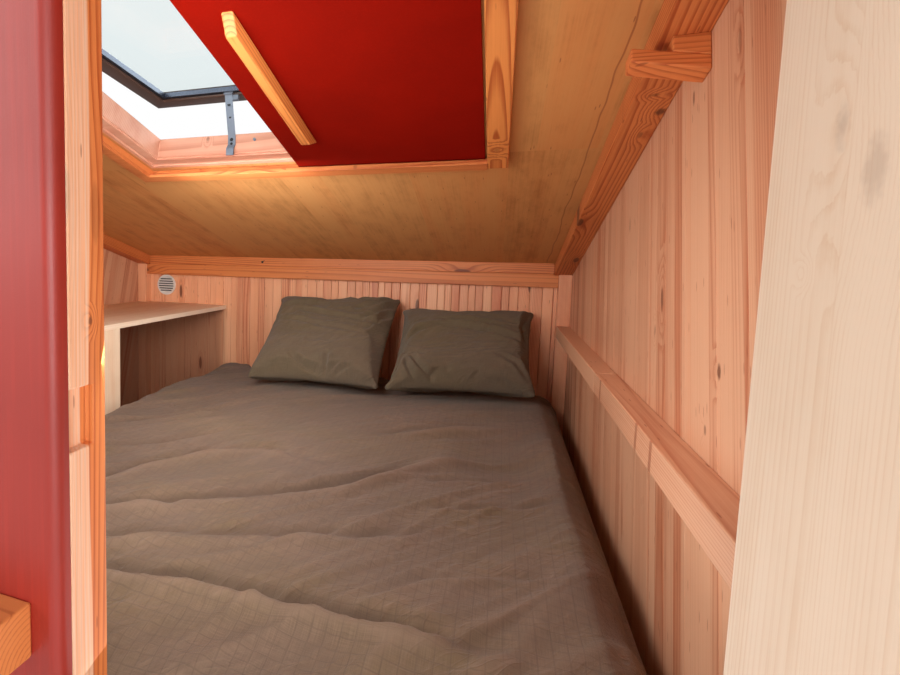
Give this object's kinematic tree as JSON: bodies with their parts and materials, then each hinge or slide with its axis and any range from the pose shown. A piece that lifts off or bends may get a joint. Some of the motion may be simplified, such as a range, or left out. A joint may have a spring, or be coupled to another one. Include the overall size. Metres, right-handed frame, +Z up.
{
  "type": "sleeping alcove of a tiny house",
  "caption": "Timber sleeping alcove with a sloping ceiling, a propped-open roof window with a sliding shutter, a bedside shelf and a made-up double bed",
  "frame": {"origin": "on the ground, under the middle of the bay's outer box", "axes": "+X to the right along the head wall, +Y from the doorway to the head wall, +Z up"},
  "size_m": [2.11, 2.24, 1.5073],
  "materials": {
    "lining_boards": "narrow softwood boards, oiled, orange pink",
    "side_lining": "planed softwood boards, salmon pink, with knots",
    "ceiling_spruce": "three-ply spruce board, honey brown",
    "framing": "planed reddish softwood",
    "pale_spruce": "planed pale spruce",
    "structural_wood": "sawn softwood",
    "outside_cladding": "vertical softwood cladding",
    "red_paint": "matt deep red paint on board",
    "sash_brown": "dark brown coated frame with a grey inner rim",
    "glass": "clear double glazing",
    "galvanised": "galvanised steel strip",
    "roof_sheet": "standing-seam metal sheet, dark grey",
    "mattress_cloth": "woven cotton cover",
    "duvet_linen": "washed linen, taupe with a fine windowpane check",
    "pillow_linen": "washed linen, olive khaki",
    "white_plastic": "white moulded plastic"
  },
  "bodies": {
    "bay": {"floor_bearers": "structural_wood", "floor_deck": "structural_wood", "head_wall": "outside_cladding", "head_lining": "lining_boards", "left_wall": "outside_cladding", "left_lining": "side_lining", "right_wall": "outside_cladding", "right_lining": "side_lining", "front_panel": "red_paint", "front_frame": "structural_wood", "front_wall_right": "red_paint", "latch_post": "framing", "right_jamb": "pale_spruce", "front_header": "red_paint", "front_sill": "red_paint", "front_ledger": "framing", "head_plate_upper": "framing", "head_plate_lower": "framing", "corner_posts": "pale_spruce", "rafters": "framing", "corbel": "framing", "rafter_packer": "framing", "wall_rail_head": "framing", "wall_rail_front": "framing", "ceiling_low": "ceiling_spruce", "ceiling_left": "ceiling_spruce", "ceiling_right": "ceiling_spruce", "ceiling_high": "ceiling_spruce", "roof_skin": "roof_sheet", "window_curb": "side_lining", "sash_frame": "sash_brown", "sash_glass": "glass", "stay_bar": "galvanised", "shutter_spacers": "pale_spruce", "shutter_lips": "pale_spruce", "stop_batten": "framing", "shelf_top": "pale_spruce", "shelf_front": "pale_spruce", "mattress": "mattress_cloth", "duvet": "duvet_linen", "pillow_left": "pillow_linen", "pillow_right": "pillow_linen", "vent_grille": "white_plastic"},
    "shutter": {"shutter_panel": "red_paint", "shutter_handle": "framing"}
  },
  "joints": [
    {"name": "shutter_slide", "type": "slide", "parent": "bay", "child": "shutter", "axis": [1, 0, 0], "range_m": [-0.45, 0]}
  ]
}
